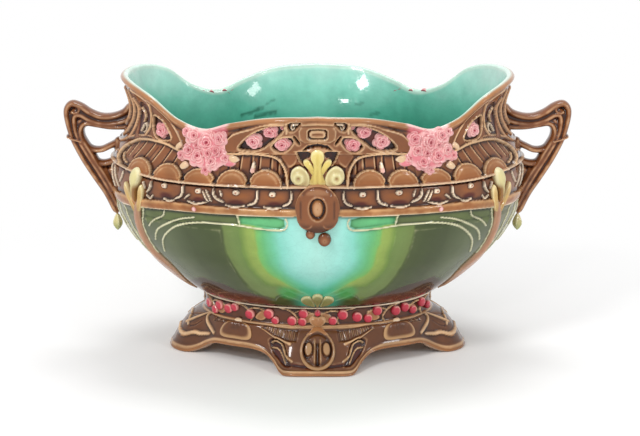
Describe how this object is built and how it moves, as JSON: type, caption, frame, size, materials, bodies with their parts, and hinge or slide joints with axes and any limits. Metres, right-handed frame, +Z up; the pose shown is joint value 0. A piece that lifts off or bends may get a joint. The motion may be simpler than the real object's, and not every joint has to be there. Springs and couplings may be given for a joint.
{
  "type": "jardiniere on stand",
  "caption": "Oval two-handled glazed jardiniere with a wavy rim and relief flowers, lifting off a low stand with lobed feet.",
  "frame": {"origin": "on the floor under the middle of the stand", "axes": "+Z up, +X along the handles, the front faces -Y"},
  "size_m": [0.4774, 0.2914, 0.2688],
  "materials": {
    "bowl": "glossy majolica glaze, brown over the shoulder, green and turquoise below",
    "brown_relief": "glossy brown glaze",
    "pink_relief": "glossy pink glaze",
    "yellow_relief": "glossy yellow glaze",
    "green_relief": "glossy yellow-green glaze",
    "stand": "glossy brown glaze"
  },
  "bodies": {
    "stand_base": {"stand": "stand", "collar": "stand", "collar_berries": "pink_relief", "collar_hearts": "stand", "foot_medallions": "stand", "half_shells": "stand"},
    "jardiniere": {"bowl": "bowl", "handle_left": "brown_relief", "handle_right": "brown_relief", "handle_bud_left": "green_relief", "handle_bud_right": "green_relief", "roses": "pink_relief", "corner_stems": "yellow_relief", "cartouches": "brown_relief", "cartouche_rosettes": "pink_relief", "shoulder_frames": "brown_relief", "palmettes": "yellow_relief", "medallions": "brown_relief", "cabochons": "brown_relief", "medallion_berries": "brown_relief", "scallops": "brown_relief", "trefoils": "green_relief"}
  },
  "joints": [
    {"name": "jardiniere_lift", "type": "slide", "parent": "stand_base", "child": "jardiniere", "axis": [0, 0, 1], "range_m": [0, 0.06]}
  ]
}
